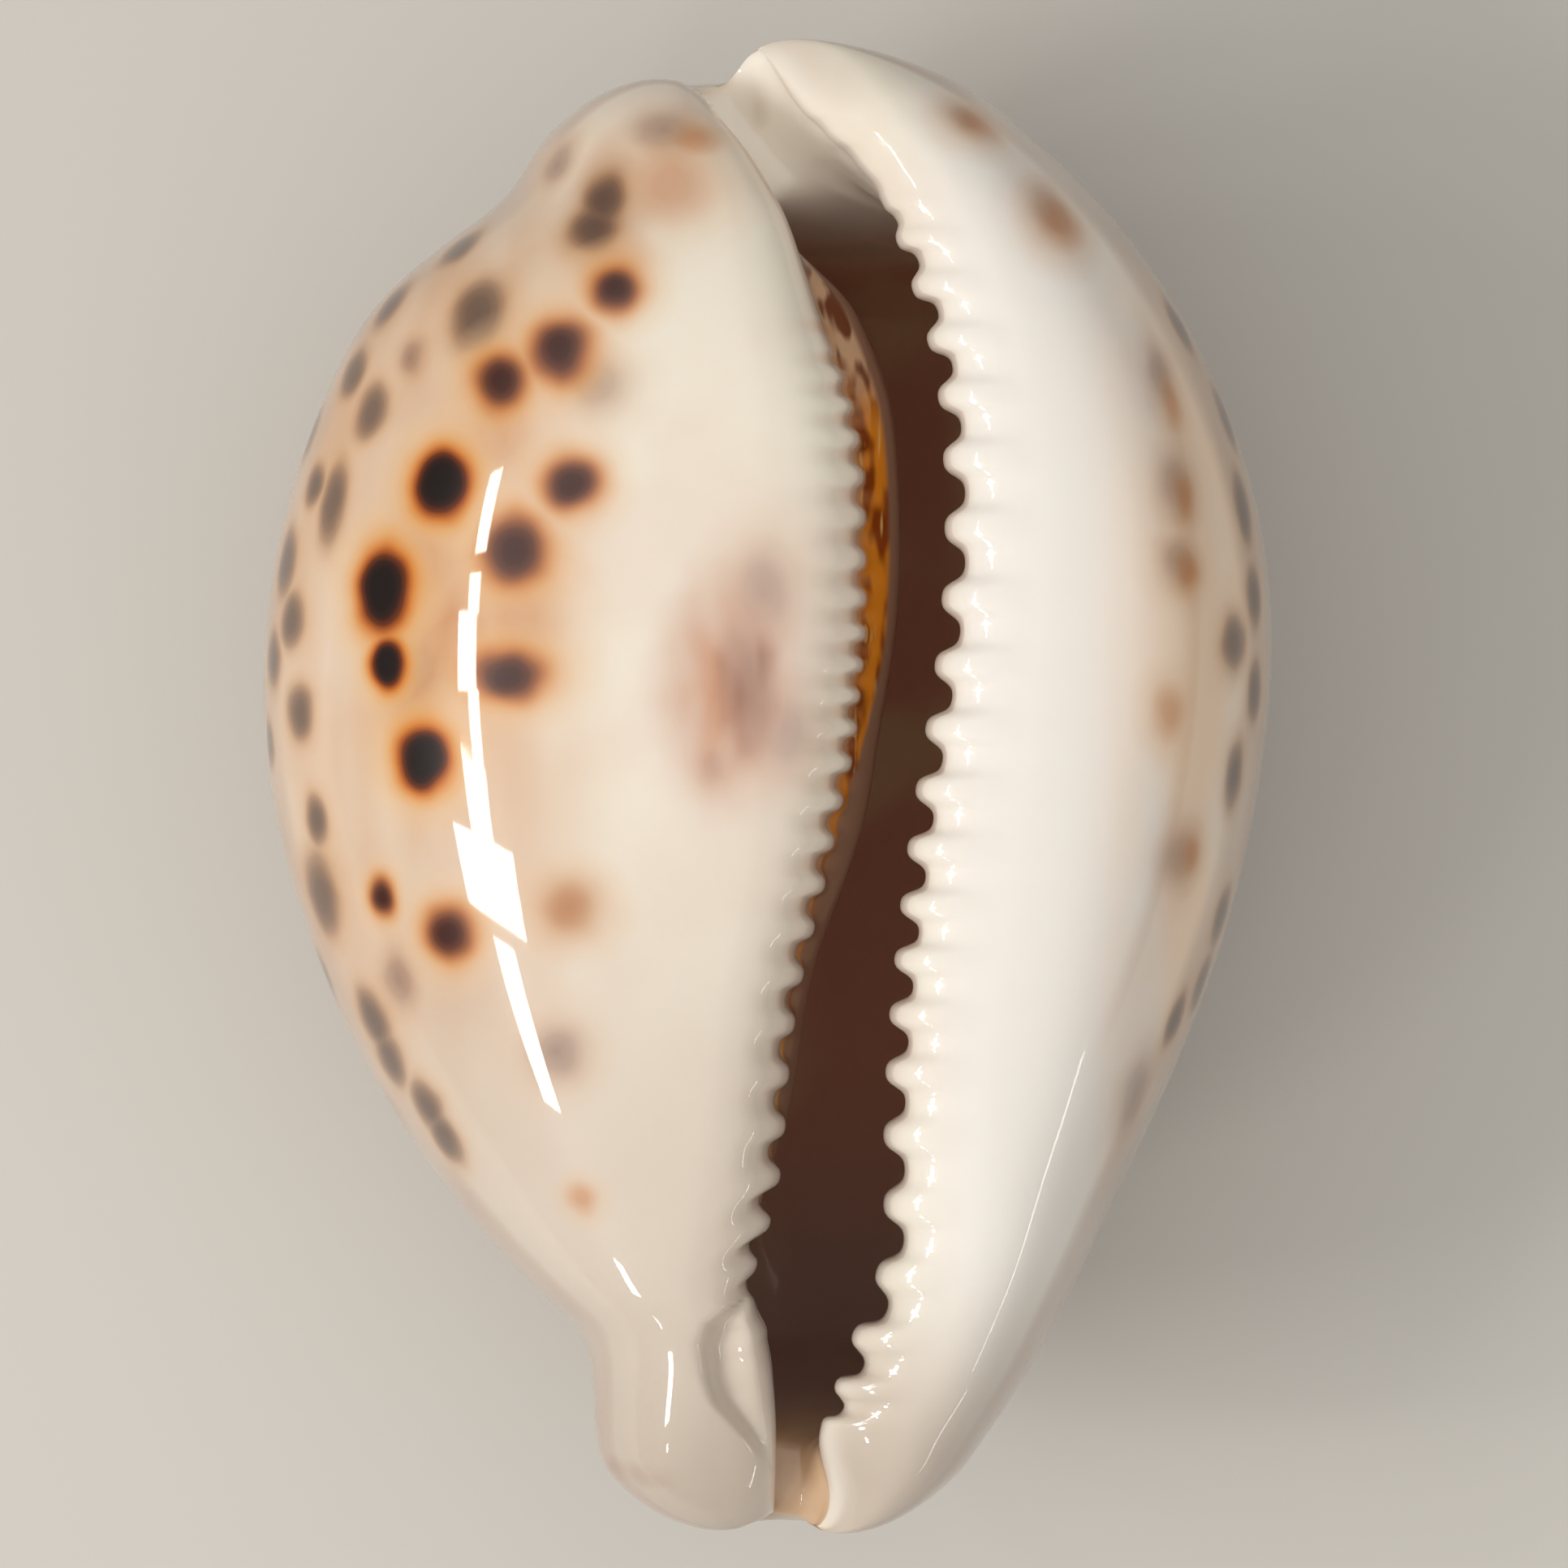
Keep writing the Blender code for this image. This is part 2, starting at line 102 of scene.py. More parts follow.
INNER_WHORL = (
    (1.0, -0.119), (0.9, -0.042), (0.80, 0.063), (0.735, 0.136), (0.66, 0.192),
    (0.575, 0.234), (0.43, 0.257), (0.31, 0.258), (0.18, 0.241), (0.07, 0.215),
    (-0.036, 0.192), (-0.144, 0.145), (-0.21, 0.110), (-0.30, 0.075), (-0.40, 0.053),
    (-0.5, 0.018), (-0.6, -0.03), (-0.8, -0.05), (-1.0, -0.05),
)
DORSUM_LINE = ((1.0, -0.03), (0.6, -0.03), (0.0, 0.0), (-0.6, 0.01), (-1.0, 0.0))
DORSUM = (
    (1.0, 0.60), (0.95, 0.43), (0.85, 0.275), (0.68, 0.131), (0.40, 0.026), (0.1, -0.0044),
    (-0.20, 0.010), (-0.45, 0.075), (-0.65, 0.165), (-0.80, 0.276), (-0.92, 0.43), (-1.0, 0.66),
)
LEFT_CREST = (
    (1.0, 0.80), (0.9, 0.895), (0.7, 0.965), (0.4, 0.998), (0.1, 1.0), (-0.3, 0.982),
    (-0.6, 0.942), (-0.8, 0.895), (-0.93, 0.845), (-1.0, 0.78),
)
RIGHT_CREST = (
    (1.0, 0.82), (0.9, 0.905), (0.7, 0.955), (0.4, 0.985), (0.1, 0.985), (-0.3, 0.968),
    (-0.6, 0.935), (-0.8, 0.895), (-0.93, 0.845), (-1.0, 0.78),
)
MARGIN = (
    (1.0, 0.70), (0.9, 0.66), (0.6, 0.62), (0.2, 0.60), (-0.2, 0.60), (-0.6, 0.635),
    (-0.9, 0.68), (-1.0, 0.70),
)
CANAL_FLOOR = (
    (1.0, 0.735), (0.9, 0.71), (0.6, 0.70), (-0.6, 0.70), (-0.85, 0.74), (-0.93, 0.745),
    (-1.0, 0.72),
)
INNER_ROLL = (
    (1.0, 1.6), (0.9, 2.6), (0.6, 4.5), (0.0, 5.0), (-0.5, 4.6), (-0.9, 2.8), (-1.0, 2.0),
)
OUTER_ROLL = (
    (1.0, 3.2), (0.9, 3.0), (0.6, 4.0), (0.0, 4.3), (-0.5, 4.2), (-0.9, 2.8), (-1.0, 2.4),
)
OUTER_LIP_SQUARENESS = ((1.0, 1.2), (0.92, 1.6), (0.8, 2.4), (-0.8, 2.4), (-0.92, 1.6), (-1.0, 1.2))
LEFT_CREST_PLACE = (
    (1.0, 0.45), (0.8, 0.24), (0.3, 0.2), (-0.4, 0.2), (-0.7, 0.34), (-0.9, 0.48), (-1.0, 0.5),
)
RIGHT_CREST_PLACE = (
    (1.0, 0.80), (0.9, 0.44), (0.7, 0.37), (0.0, 0.34), (-0.5, 0.40), (-0.7, 0.48), (-0.9, 0.56),
    (-1.0, 0.6),
)
CANAL_PLACE = ((1.0, 0.25), (0.8, 0.3), (0.4, 0.5), (-0.6, 0.5), (-1.0, 0.5))
CAVITY_BEHIND = (0.88, 0.67)
CAVITY_FRONT = (-0.92, -0.77)
BROWN_BEHIND = (0.83, 0.73)  # where the inside's brown begins
BROWN_FRONT = (-0.885, -0.84)
# Where each line of the sheet ends, in millimetres from the middle, and how far the outside bulges
# past it in a rounded lobe: (control point of the section, at the posterior end, at the anterior)
INSIDE_ENDS = ((0, 38.1, 41.0), (13, 39.4, 41.3), (20, 40.7, 41.7), (26, 41.3, 41.8))
OUTSIDE_ENDS = (
    (0, 38.1, 41.0), (6, 39.2, 41.6), (10, 39.2, 41.6), (13, 39.9, 41.7), (16, 41.5, 41.9),
    (20, 41.8, 41.9), (26, 41.3, 41.8),
)
LOBES = (
    (0, 0.0, 0.0), (3, 0.5, 0.5), (6, 1.0, 0.9), (10, 0.8, 0.8), (13, 0.4, 0.4), (16, 0.7, 0.6),
    (20, 0.9, 0.6), (23, 0.5, 0.4), (26, 0.0, 0.0),
)
OUTER_TEETH = (
    (-2.0, 0.90), (-1.0, 0.862), (0.0, 0.820), (1.0, 0.775), (2.0, 0.726), (3.0, 0.662),
    (6.0, 0.432), (8.0, 0.247), (10.0, 0.074), (13.0, -0.161), (17.0, -0.468), (19.0, -0.655),
    (21.0, -0.808), (22.0, -0.86),
)
INNER_TEETH = (
    (-1.0, 0.630), (0.0, 0.585), (3.0, 0.460), (7.0, 0.247), (11.0, 0.074), (15.0, -0.134),
    (18.0, -0.319), (21.0, -0.523), (24.0, -0.698), (25.0, -0.75),
)
OUTER_TOOTH = (
    (1.0, 0.0), (0.92, 0.04), (0.85, 0.04), (0.78, 0.10), (0.73, 0.32), (0.6, 0.52), (0.3, 0.60),
    (-0.3, 0.60), (-0.70, 0.62), (-0.82, 0.5), (-0.9, 0.0), (-1.0, 0.0),
)
INNER_TOOTH = (
    (1.0, 0.0), (0.66, 0.0), (0.6, 0.14), (0.45, 0.24), (0.1, 0.28), (-0.2, 0.36),
    (-0.5, 0.42), (-0.62, 0.42), (-0.72, 0.0), (-0.86, 0.0), (-1.0, 0.0),
)
OUTER_TOOTH_ACROSS = (-0.95, 0.0, 0.1, 0.9)
INNER_TOOTH_ACROSS = (-0.8, 0.0, 0.05, 0.5)
TOOTH_FULLNESS = 1.8  # 0 is a plain wave

# The fossula, a hollow in the inner lip near the anterior end, in millimetres: stations of its left
# rim (y, x) and of its depth (y, depth)
FOSSULA_RIM = (
    (-39.0, 0.6), (-37.2, -0.6), (-36.0, -1.6), (-34.4, -3.0), (-32.9, -3.6), (-31.2, -3.8),
    (-29.9, -3.3), (-28.9, -1.9), (-28.2, -0.7), (-27.0, 0.6),
)
FOSSULA_DEPTH = (
    (-39.0, 0.0), (-37.5, 0.15), (-36.0, 0.6), (-34.0, 1.1), (-32.0, 1.35), (-30.5, 1.3),
    (-29.3, 0.8), (-28.4, 0.2), (-27.5, 0.0), (-27.0, 0.0),
)
TOOTH_LEAN = 0.67  # how the frontmost ridges of the inner lip slope, and where that begins and ends
TOOTH_LEAN_FROM = -17.0 * MM
TOOTH_LEAN_TO = -26.0 * MM

# Waves of the glaze: height in millimetres, turns (radians per millimetre) along x, y and z, phase
WAVES = (
    (0.02, 0.60, 0.12, 0.10, 0.4), (0.008, -0.60, 0.25, 0.25, 2.1), (0.0025, 1.2, 0.5, -0.4, 1.0),
    (0.0008, 1.6, 0.9, 0.3, 4.0),
)


def cubic(places, values):
    """The natural cubic through values at rising places, as a function of the place."""
    count, gap = len(places), np.diff(places)
    system, right = np.eye(count), np.zeros(count)
    for k in range(1, count - 1):
        system[k, k - 1 : k + 2] = gap[k - 1], 2 * (gap[k - 1] + gap[k]), gap[k]
        slopes = (values[k + 1] - values[k]) / gap[k], (values[k] - values[k - 1]) / gap[k - 1]
        right[k] = 6 * (slopes[0] - slopes[1])
    bend = np.linalg.solve(system, right)

    def at(place):
        k = np.clip(np.searchsorted(places, place) - 1, 0, count - 2)
        after, before = places[k + 1] - place, place - places[k]
        arc = (bend[k] * after**3 + bend[k + 1] * before**3) / (6 * gap[k])
        start = values[k] / gap[k] - bend[k] * gap[k] / 6
        end = values[k + 1] / gap[k] - bend[k + 1] * gap[k] / 6
        return arc + start * after + end * before

    return at


def line(stations, angle):
    """The value along the shell at angles whose sines are the shares, so that ends are round."""
    share, value = np.array(sorted(stations)).T
    return cubic(np.arcsin(share), value)(angle)


def ramp(start, end, value):
    """Rises smoothly from 0 at start to 1 at end, with no jump in its slope or bend."""
    t = np.clip((value - start) / (end - start), 0, 1)
    return t**3 * (t * (6 * t - 15) + 10)


def hump(stops, value):
    """Rises from the first stop to the second and falls from the third to the fourth."""
    return ramp(stops[0], stops[1], value) * ramp(stops[3], stops[2], value)


def mix(first, second, share):
    return first + (second - first) * share


def quarter(start, end, steps, upright_first, squareness=2.0):
    """A quarter of an ellipse, without its end. It leaves start and meets end at right angles."""
    angle = np.linspace(0, np.pi / 2, steps + 1)[:-1]
    reach = (np.cos(angle) ** squareness + np.sin(angle) ** squareness) ** (-1 / squareness)
    far, near = np.cos(angle) * reach, np.sin(angle) * reach
    (x0, z0), (x1, z1) = [[part[:, None] for part in point] for point in (start, end)]
    if upright_first:
        return np.stack([x1 + (x0 - x1) * far, z0 + (z1 - z0) * near], -1)
    return np.stack([x0 + (x1 - x0) * near, z1 + (z0 - z1) * far], -1)


def section(arcs, end):
    """The arcs in a row, with the last point of the last one. Columns are x and z."""
    return np.concatenate(arcs + [np.stack(end, -1)[:, None]], 1)


def section_outside(inner_lip, left_crest, left, dorsum, right, right_crest, outer_lip, slope):
    """From the inner lip's edge over the base, round the dorsum and back to the outer lip."""
    roll_a, base_a, flank_a, flank_b, base_b, roll_b = SECTION_POINTS
    arcs = [
        quarter(inner_lip, left_crest, roll_a, True, INNER_LIP_SQUARENESS),
        quarter(left_crest, left, base_a, False, BASE_SQUARENESS),
        quarter(left, dorsum, flank_a, True, FLANK_SQUARENESS),
        quarter(dorsum, right, flank_b, False, FLANK_SQUARENESS),
        quarter(right, right_crest, base_b, True, BASE_SQUARENESS),
        quarter(right_crest, outer_lip, roll_b, False, slope),
    ]
    return section(arcs, outer_lip)


def section_gutter(inner_lip, floor, outer_lip, slope):
    """The inside where there is no cavity: a canal that dips between the lips."""
    half = sum(SECTION_POINTS) // 2
    wall = quarter(inner_lip, floor, half, True, CANAL_SQUARENESS)
    wall[..., 0] -= UNDERCUT * np.sin(np.linspace(0, np.pi, half + 1)[:-1])
    arcs = [wall, quarter(floor, outer_lip, half, False, slope)]
    return section(arcs, outer_lip)


def section_cavity(inner_lip, whorl, ceiling, left, dorsum, right, under_lip, outer_lip):
    """The inside along the cavity: down the inner lip, round the inner whorl and the body."""
    flank_a, flank_b, base_b, roll_b = SECTION_POINTS[2:]
    span, drop = left[0] - whorl[0], WHORL_DROP * (whorl[1] - left[1]) / HEIGHT
    fold = [
        inner_lip,
        (mix(inner_lip[0], whorl[0], 0.02), mix(inner_lip[1], whorl[1], 0.22)),
        (mix(inner_lip[0], whorl[0], 0.3), mix(inner_lip[1], whorl[1], 0.42)),
        (mix(inner_lip[0], whorl[0], 0.8), mix(inner_lip[1], whorl[1], 0.66)),
        whorl,
        (whorl[0] + 0.06 * span, whorl[1] - 0.5 * drop),
        (whorl[0] + 0.22 * span, whorl[1] - 0.95 * drop),
        (whorl[0] + 0.44 * span, whorl[1] - 0.75 * drop),
        (whorl[0] + 0.66 * span, ceiling),
        (whorl[0] + 0.90 * span, mix(ceiling, left[1], 0.3)),
    ]
    arcs = [
        np.stack([np.stack(point, -1) for point in fold], 1),
        quarter(left, dorsum, flank_a, True, FLANK_SQUARENESS),
        quarter(dorsum, right, flank_b, False, FLANK_SQUARENESS),
        quarter(right, under_lip, base_b, True),
        quarter(under_lip, outer_lip, roll_b, False),
    ]
    return section(arcs, outer_lip)


def sheet_sections(angle):
    """The sections of the sheet's outside and inside, one pair for each angle along the shell."""
    left, right, outer, inner, whorl, dorsum_x = [
        HALF_WIDTH * line(stations, angle)
        for stations in (LEFT, RIGHT, OUTER_LIP, INNER_LIP, INNER_WHORL, DORSUM_LINE)
    ]
    dorsum, crest_a, crest_b, margin, canal = [
        HEIGHT * line(stations, angle)
        for stations in (DORSUM, LEFT_CREST, RIGHT_CREST, MARGIN, CANAL_FLOOR)
    ]
    slope = line(OUTER_LIP_SQUARENESS, angle)[:, None]
    inner_lip = (inner, crest_a - MM * line(INNER_ROLL, angle))
    outer_lip = (outer, crest_b - MM * line(OUTER_ROLL, angle))
    outside = section_outside(
        inner_lip,
        (mix(inner, left, line(LEFT_CREST_PLACE, angle)), crest_a),
        (left, margin),
        (dorsum_x, dorsum),
        (right, margin),
        (mix(outer, right, line(RIGHT_CREST_PLACE, angle)), crest_b),
        outer_lip,
        slope,
    )
    floor = (mix(inner, outer, line(CANAL_PLACE, angle)), canal)
    cavity = section_cavity(
        inner_lip,
        (whorl, inner_lip[1] - WHORL_BELOW_LIP),
        crest_a - CEILING_BELOW_BASE,
        (left + MARGIN_WALL, margin),
        (dorsum_x, dorsum + WALL),
        (right - MARGIN_WALL, margin),
        (outer + LIP_IN, outer_lip[1] - LIP_DOWN),
        outer_lip,
    )
    share = np.sin(angle)
    hollow = ramp(*CAVITY_BEHIND, share) * ramp(*CAVITY_FRONT, share)
    inside = mix(section_gutter(inner_lip, floor, outer_lip, slope), cavity, hollow[:, None, None])
    return outside, inside


def at_end(stations, angle):
    """Lengths for each section and control point, from the stations of the end that is nearer."""
    joint, behind, front = np.array(stations).T
    columns = np.arange(joint[-1] + 1)
    behind, front = [MM * cubic(joint, lengths)(columns) for lengths in (behind, front)]
    return np.where(angle[:, None] > 0, behind, front)


def eased(ring):
    """The control points of the closed rings, moved so that the rounded rings pass near them, and
    moved less where their spacing changes."""
    before, after = np.roll(ring, 1, 1) - ring, np.roll(ring, -1, 1) - ring
    lengths = [np.linalg.norm(gap, axis=2, keepdims=True) + 0.001 * MM for gap in (before, after)]
    even = np.sqrt(np.minimum(*lengths) / np.maximum(*lengths))
    return ring - (before + after) / 6 * even


def rounded(ring):
    """One round of cubic subdivision of closed rings: a point in each gap, the old ones eased."""
    before, after = np.roll(ring, 1, 1), np.roll(ring, -1, 1)
    pair = np.stack([(before + 6 * ring + after) / 8, (ring + after) / 2], 2)
    return pair.reshape(len(ring), -1, 3)


def rings(angle):
    """Closed rings of points, one for each angle from -pi/2 (anterior tip) to pi/2 (posterior tip).

    A ring runs from the inner lip's edge over the outside to the outer lip's edge, and back
    through the cavity. At the tips its outside and its inside meet in one line.
    """
    outside, inside = [
        np.insert(half, 1, at_end(ends, angle) * np.sin(angle)[:, None], 2)
        for half, ends in zip(sheet_sections(angle), (OUTSIDE_ENDS, INSIDE_ENDS))
    ]
    to_tip = np.clip((np.pi / 2 - abs(angle)) / TIP_ANGLE, 0, 1)
    full = np.sin(np.pi / 2 * to_tip)[:, None]
    outside = mix(inside, outside, full[..., None])
    outside[..., 1] += at_end(LOBES, angle) * np.sign(angle)[:, None] * 4 * full * (1 - full)
    ring = eased(np.concatenate([outside, inside[:, -2:0:-1]], 1))
    for _ in range(ROUNDINGS):
        ring = rounded(ring)
    return ring


def normals(ring):
    """Unit outward directions of the closed rings."""
    along = np.gradient(ring, axis=0)
    around = np.roll(ring, -1, 1) - np.roll(ring, 1, 1)
    out = np.cross(along, around)
    return out / np.maximum(np.linalg.norm(out, axis=2, keepdims=True), 1e-12)


def ridges(teeth, y):
    """A wave along the shell with one crest for each tooth."""
    count, share = np.array(teeth).T
    dense = np.linspace(count[0], count[-1], 400)
    where = HALF_LENGTH * cubic(count, share)(dense)
    wave = np.cos(2 * np.pi * np.interp(y, where[::-1], dense[::-1]))
    return wave * np.sqrt((1 + TOOTH_FULLNESS) / (1 + TOOTH_FULLNESS * wave**2))


def tooth_waves(ring):
    """The outer and the inner lip's waves, at full height where each lip turns."""
    fine = 2**ROUNDINGS
    column = np.arange(ring.shape[1])
    inner_roll, outer_roll = fine * SECTION_POINTS[0], fine * SECTION_POINTS[-1]
    from_outer = (column - fine * sum(SECTION_POINTS)) / outer_roll
    wrapped = np.where(column > ring.shape[1] - 3 * inner_roll, column - ring.shape[1], column)
    from_inner = -wrapped / inner_roll
    x, y = ring[..., 0], ring[..., 1]
    lean = TOOTH_LEAN * ramp(TOOTH_LEAN_FROM, TOOTH_LEAN_TO, y)
    outer = ridges(OUTER_TEETH, y) * hump(OUTER_TOOTH_ACROSS, from_outer)
    inner = ridges(INNER_TEETH, y + lean * (x[:, :1] - x)) * hump(INNER_TOOTH_ACROSS, from_inner)
    return outer, inner


def toothed(ring, angle):
    """Adds the teeth of both lips: ridges that run over each lip's edge."""
    outer, inner = tooth_waves(ring)
    height = outer * MM * line(OUTER_TOOTH, angle)[:, None]
    height += inner * MM * line(INNER_TOOTH, angle)[:, None]
    return ring + normals(ring) * height[..., None]


def dented(ring):
    """Sinks the fossula: steepest at its left rim, deepest beside it, and shallower again towards
    the lip."""
    fine = 2**ROUNDINGS
    x, y = ring[..., 0] / MM, ring[..., 1] / MM
    rim, depth = [
        np.interp(y, *np.array(stations).T) for stations in (FOSSULA_RIM, FOSSULA_DEPTH)
    ]
    across = (x - rim) / np.maximum(x[:, :1] - rim, 0.3)
    hollow = ramp(-0.2, 0.42, across) - 0.7 * ramp(0.35, 0.9, across)
    top = np.arange(ring.shape[1]) <= fine * sum(SECTION_POINTS[:2])
    ring[..., 2] -= MM * depth * hollow * top
    return ring


def row_angles():
    """Angles from the anterior tip to the posterior one, closer together in the middle."""
    step = np.linspace(-1, 1, ROWS)
    return np.pi / 2 * step * (1 - ROW_CROWDING + ROW_CROWDING * step**2)


def uneven(ring):
    """Low waves over the whole shell, each far broader than it is high."""
    height = np.zeros(ring.shape[:2])
    for size, across, along, up, phase in WAVES:
        height += size * np.sin((ring / MM) @ (across, along, up) + phase)
    return ring + normals(ring) * height[..., None] * MM


def shell_rings(angle):
    ring = uneven(dented(toothed(rings(angle), angle)))
    ring[..., 2] = np.maximum(ring[..., 2], 0)
    return ring


def zones(angle, ring):
    """Numbers for each point of the rings: how far it is inside, how far down the inner lip's fold
    in control points, how near to a lip's edge, how steep, and how deep between two teeth."""
    fine = 2**ROUNDINGS
    around = ring.shape[1]
    column = np.arange(around)
    from_outer = column - fine * sum(SECTION_POINTS)
    to_inner = around - column
    share = np.sin(angle)[:, None]
    hollow = ramp(*BROWN_BEHIND, share) * ramp(*BROWN_FRONT, share)
    inside = ramp(0.2 * fine, 1.5 * fine, from_outer) * ramp(0.2 * fine, 1.2 * fine, to_inner)
    fold = np.where(from_outer > 0, to_inner / fine, 0)
    wrapped = np.where(column > around / 2, column - around, column)
    lip = hump((-3.5 * fine, -0.5 * fine, 0.5 * fine, 1.5 * fine), from_outer)
    lip = lip + hump((-1.5 * fine, -0.5 * fine, 0.5 * fine, 3.5 * fine), wrapped)
    rows = np.ones_like(share)
    return {
        "inside": inside * hollow,
        "canal": inside * (1 - hollow),
        "fold": fold * rows,
        "lip": lip * rows,
        "side": ramp(0.85, 0.25, normals(ring)[..., 2]),
        "gap": ramp(0.1, -0.9, tooth_waves(ring)[1]),
    }


def closed_mesh(name, ring, zone_values):
    """A mesh of two triangles to each cell of the grid. Each tip's ring is folded flat, so that a
    point of its outside also stands for its match inside."""
    rows, around = ring.shape[:2]
    number = np.arange(rows * around).reshape(rows, around)
    half = around // 2
    folded = np.concatenate([np.arange(half + 1), np.arange(half - 1, 0, -1)])
    for row in (0, -1):
        number[row] = number[row][folded]
    near, far = number[:-1], number[1:]
    far_next, near_next = np.roll(far, -1, 1), np.roll(near, -1, 1)
    faces = np.stack([near, far, far_next, near, far_next, near_next], -1).reshape(-1, 3)
    used, faces = np.unique(faces, return_inverse=True)
    mesh = bpy.data.meshes.new(name)
    mesh.from_pydata(ring.reshape(-1, 3)[used], [], faces.reshape(-1, 3))
    mesh.shade_smooth()
    for zone, values in zone_values.items():
        layer = mesh.attributes.new(zone, "FLOAT", "POINT")
        layer.data.foreach_set("value", values.reshape(-1)[used].astype(np.float32))
    return mesh


def added(name, data):
    obj = bpy.data.objects.new(name, data)
    bpy.context.scene.collection.objects.link(obj)
    return obj


# Marks, in millimetres: (x, y, radius, how much longer it is along the shell)
DARK_SPOTS = (
    (-18.2, 16.7, 1.95, 1.0), (-21.6, 10.8, 1.95, 1.25), (-19.2, 1.4, 1.8, 1.05),
    (-21.1, 6.7, 1.2, 1.25),
)
MAROON_SPOTS = (
    (-8.4, 27.3, 1.6, 1.0), (-10.8, 16.5, 1.8, 0.95), (-13.9, 12.9, 2.15, 1.0),
    (-14.7, 22.3, 1.8, 1.0), (-11.5, 24.0, 2.0, 1.05), (-14.3, 6.0, 2.5, 0.65),
    (-17.5, -8.2, 1.75, 1.0), (-21.3, -6.2, 1.1, 1.2),
)
GREY_SPOTS = (
    (-9.7, 30.7, 1.6, 1.0), (-9.1, 32.3, 1.35, 1.95), (-16.2, 26.2, 2.0, 1.3),
    (-22.4, 20.9, 1.6, 1.15), (-17.2, 30.0, 1.5, 1.3), (-21.1, 26.9, 1.6, 1.3),
    (-23.3, 23.2, 1.5, 1.2), (-25.6, 16.9, 1.15, 1.3), (-24.2, 15.6, 1.4, 2.0),
    (-27.0, 12.4, 1.5, 1.5), (-26.6, 9.2, 1.5, 1.2), (-25.8, 19.8, 1.3, 1.4),
    (-28.0, 7.0, 1.4, 1.3), (-26.4, 4.0, 1.6, 1.1), (-28.1, 2.4, 1.2, 1.3),
    (-25.3, -2.1, 1.2, 1.5), (-25.0, -6.1, 1.9, 1.5), (-25.0, -10.9, 1.4, 1.5),
    (-22.2, -13.2, 1.8, 1.2), (-21.2, -15.4, 1.7, 1.2), (-19.1, -18.2, 1.6, 1.2),
    (-18.1, -19.9, 1.6, 1.2), (23.1, 25.7, 1.4, 1.6), (25.7, 20.7, 1.4, 1.6),
    (26.6, 15.5, 1.6, 1.5), (27.3, 10.4, 1.4, 1.4), (25.9, 7.8, 1.6, 1.2), (27.4, 5.2, 1.3, 1.5),
    (26.2, 0.5, 1.5, 1.5), (25.4, -7.5, 1.4, 1.6), (24.4, -11.2, 1.4, 1.4),
    (22.9, -13.1, 1.3, 1.4),
)
VEILED_SPOTS = (
    (-9.1, 32.8, 2.2, 1.8), (-9.3, 31.2, 2.4, 1.2), (-9.4, 22.2, 2.0, 1.0),
    (-19.9, 23.9, 1.3, 1.0), (-20.6, -11.0, 1.6, 1.3), (-11.6, 34.7, 1.7, 1.0),
    (-5.7, 36.2, 2.4, 0.7), (-10.9, -6.8, 2.0, 0.9), (-11.7, -14.8, 2.0, 1.0),
    (-19.6, 6.4, 1.9, 1.1), (-3.0, 1.1, 1.0, 1.2), (1.0, 2.9, 1.9, 1.3), (-0.3, 10.6, 2.0, 1.4),
    (21.7, 22.5, 1.5, 1.7), (22.7, 16.4, 1.7, 1.4), (22.8, 12.3, 1.6, 1.1), (23.1, -4.1, 1.8, 1.1),
    (15.7, 31.9, 1.9, 1.3), (10.9, 37.0, 1.5, 0.8), (20.4, -17.2, 2.0, 1.6),
    (-21.8, -19.5, 1.6, 1.5),
)
TAN_SPOTS = (
    (-5.2, 33.2, 2.8, 0.9), (-8.6, 29.0, 2.2, 0.8), (-3.9, 35.8, 1.4, 1.0), (11.8, 36.6, 1.8, 0.8),
    (16.2, 31.2, 1.6, 1.3), (22.6, 21.0, 0.9, 2.0), (23.2, 15.9, 0.9, 1.6), (23.4, 11.7, 0.9, 1.5),
    (23.4, -3.9, 1.0, 1.2), (22.2, 3.9, 1.3, 1.3), (-10.9, -6.8, 1.9, 0.9),
    (-10.3, -23.0, 1.0, 1.0), (-13.5, 9.2, 2.6, 1.2), (-17.3, 8.0, 3.0, 1.3),
    (-19.6, 4.6, 2.6, 1.2), (-15.0, 19.5, 2.4, 1.2), (-19.4, 12.4, 2.6, 1.3),
)
CALLUS_MIDDLE = (23.9, 9.0)  # x and y of the glaze's edge along the right margin, and how it bends
CALLUS_BEND = 0.0095


def tint(red, green, blue):
    """A colour given as it looks on a screen, 0 to 255, turned into light."""
    share = np.array([red, green, blue]) / 255
    light = np.where(share < 0.04045, share / 12.92, ((share + 0.055) / 1.055) ** 2.4)
    return (*light.tolist(), 1.0)


# Stops of the marks: (distance from the middle in radii, colour, cover)
REACH = 2.5  # radii, by which every mark has faded
DARK_STOPS = (
    (0.0, tint(14, 5, 4), 1.0), (0.45, tint(20, 7, 5), 1.0), (0.64, tint(46, 18, 8), 1.0),
    (0.8, tint(104, 46, 14), 1.0), (0.94, tint(176, 90, 24), 0.97), (1.1, tint(214, 134, 54), 0.9),
    (1.34, tint(226, 168, 100), 0.68), (1.7, tint(232, 192, 142), 0.38),
    (2.4, tint(236, 206, 170), 0.0),
)
MAROON_STOPS = (
    (0.0, tint(60, 24, 18), 1.0), (0.3, tint(68, 31, 23), 1.0), (0.52, tint(92, 46, 28), 0.98),
    (0.7, tint(140, 78, 40), 0.95), (0.86, tint(184, 110, 50), 0.88),
    (1.04, tint(210, 142, 74), 0.74), (1.28, tint(224, 170, 112), 0.52),
    (1.6, tint(230, 190, 144), 0.28), (2.3, tint(236, 206, 172), 0.0),
)
